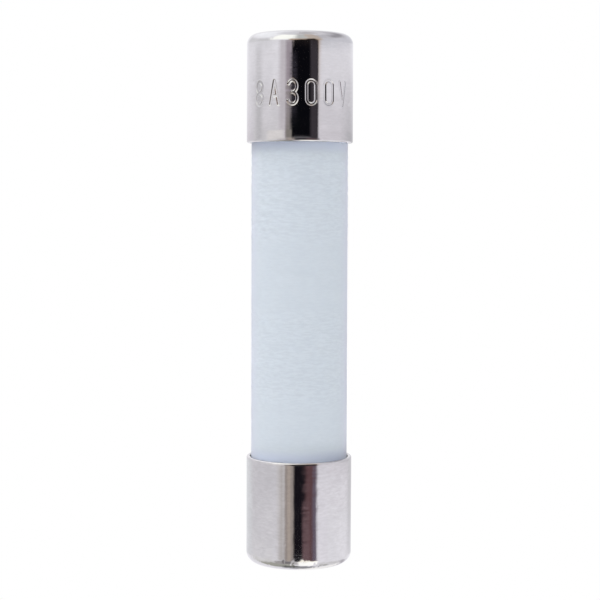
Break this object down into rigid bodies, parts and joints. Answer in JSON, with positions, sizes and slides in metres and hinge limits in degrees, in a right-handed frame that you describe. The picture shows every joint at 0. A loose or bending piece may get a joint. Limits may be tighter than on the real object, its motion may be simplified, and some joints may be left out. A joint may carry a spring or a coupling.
{
  "type": "cartridge fuse",
  "caption": "Ceramic-bodied cartridge fuse: a straight white tube closed by a drawn metal cap at each end, filled with sand around a helical fuse element.",
  "frame": {"origin": "the fuse's centre, half way along its axis", "axes": "+Z along the fuse's axis, towards the end with the stamped cap; the stamped marking's middle faces -Y"},
  "size_m": [0.0064, 0.0064, 0.0318],
  "materials": {
    "tube_ceramic": "matte unglazed",
    "nickel_plate": "bright plated, finely drawn, with stamped marking and handling scratches",
    "solder": "satin",
    "fibre_board": "matte pressed fibre",
    "cement": "matte",
    "sand": "granular",
    "glass_yarn": "twisted yarn",
    "tinned_copper": "bright tinned"
  },
  "bodies": {
    "root": {"ceramic_tube": "tube_ceramic", "upper_end_cap": "nickel_plate", "lower_end_cap": "nickel_plate", "upper_cap_solder": "solder", "lower_cap_solder": "solder", "upper_sealing_disc": "fibre_board", "lower_sealing_disc": "fibre_board", "upper_cement_ring": "cement", "lower_cement_ring": "cement", "quartz_sand": "sand", "element_core": "glass_yarn", "element_wire": "tinned_copper"}
  },
  "joints": []
}
